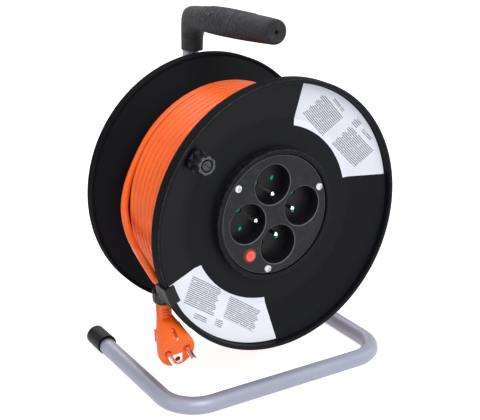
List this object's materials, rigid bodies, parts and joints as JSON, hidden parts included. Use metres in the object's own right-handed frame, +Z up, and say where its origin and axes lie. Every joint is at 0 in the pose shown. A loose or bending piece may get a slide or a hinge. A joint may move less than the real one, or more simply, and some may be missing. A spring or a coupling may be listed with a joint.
{
  "type": "extension cord reel",
  "caption": "Free-standing cable reel: dished drum with socket outlets, wound orange mains cable, parked plug and a bent tube stand with a top grip.",
  "frame": {"origin": "centre of the bounding box of everything except the free cable, its plug and clip, at floor level", "axes": "+Z up, the drum axis runs along Y, the sockets face -Y, +X is to the right as seen from the front"},
  "size_m": [0.27, 0.215, 0.3598],
  "materials": {
    "black_plastic": "fine grain",
    "panel_plastic": "fine grain",
    "tube_paint": "silver powder coat",
    "orange_pvc": "soft PVC",
    "zinc_steel": "zinc plated",
    "nickel": "nickel plated",
    "brass": "pressed strip",
    "bush_plastic": "acetal",
    "label_film": "printed film",
    "green_plastic": "moulded",
    "red_plastic": "moulded",
    "dark_red_plastic": "moulded",
    "brown_wire": "PVC",
    "blue_wire": "PVC",
    "earth_wire": "PVC"
  },
  "bodies": {
    "stand": {"frame_tube": "tube_paint", "foot_plug": "black_plastic", "handle_grip": "black_plastic", "grip_screw": "zinc_steel", "axle_bracket": "black_plastic", "bracket_clamp": "black_plastic", "bracket_bolts": "zinc_steel", "bracket_nuts": "zinc_steel", "axle": "zinc_steel", "axle_washers": "zinc_steel", "axle_nut": "zinc_steel", "cable_tail": "orange_pvc", "plug_body": "orange_pvc", "plug_pins": "nickel", "plug_earth_contact": "nickel", "plug_clip": "black_plastic"},
    "drum": {"front_flange": "black_plastic", "rear_flange": "black_plastic", "drum_barrel": "black_plastic", "tie_screws": "zinc_steel", "bearing_bushes": "bush_plastic", "cable_core": "orange_pvc", "cable_outer_layer": "orange_pvc", "label_upper": "label_film", "label_lower": "label_film", "socket_panel": "panel_plastic", "panel_screws": "nickel", "contact_base": "panel_plastic", "base_screw": "zinc_steel", "earth_pins": "nickel", "earth_plate": "brass", "line_contacts": "brass", "neutral_contacts": "brass", "button_collar": "dark_red_plastic", "thermal_cutout": "black_plastic", "lead_in": "orange_pvc", "cable_clamp": "black_plastic", "clamp_screws": "zinc_steel", "wire_line": "brown_wire", "wire_link": "brown_wire", "wire_neutral": "blue_wire", "wire_earth": "earth_wire", "knob_pin": "black_plastic", "knob_nut": "zinc_steel"},
    "knob": {"crank_knob": "black_plastic"},
    "button": {"reset_button": "red_plastic", "reset_spring": "zinc_steel"},
    "shutter_a": {"shutter_1": "green_plastic"},
    "shutter_b": {"shutter_2": "green_plastic"},
    "shutter_c": {"shutter_3": "green_plastic"},
    "shutter_d": {"shutter_4": "green_plastic"}
  },
  "joints": [
    {"name": "drum_spin", "type": "hinge", "parent": "stand", "child": "drum", "pos_m": [0, -0.00832, 0.173], "axis": [0, 1, 0], "continuous": true},
    {"name": "knob_spin", "type": "hinge", "parent": "drum", "child": "knob", "pos_m": [-0.09044, -0.08332, 0.2424], "axis": [0, 1, 0], "continuous": true},
    {"name": "reset_press", "type": "slide", "parent": "drum", "child": "button", "axis": [0, 1, 0], "range_m": [0, 0.002], "stiffness_N_per_m": 500, "springref_m": -0.002},
    {"name": "shutter_1_slide", "type": "slide", "parent": "drum", "child": "shutter_a", "axis": [0.1219, 0, -0.9925], "range_m": [0, 0.0054], "stiffness_N_per_m": 120, "springref_m": -0.003},
    {"name": "shutter_2_slide", "type": "slide", "parent": "drum", "child": "shutter_b", "axis": [-0.9925, 0, -0.1219], "range_m": [0, 0.0054], "stiffness_N_per_m": 120, "springref_m": -0.003},
    {"name": "shutter_3_slide", "type": "slide", "parent": "drum", "child": "shutter_c", "axis": [-0.1219, 0, 0.9925], "range_m": [0, 0.0054], "stiffness_N_per_m": 120, "springref_m": -0.003},
    {"name": "shutter_4_slide", "type": "slide", "parent": "drum", "child": "shutter_d", "axis": [0.9925, 0, 0.1219], "range_m": [0, 0.0054], "stiffness_N_per_m": 120, "springref_m": -0.003}
  ]
}
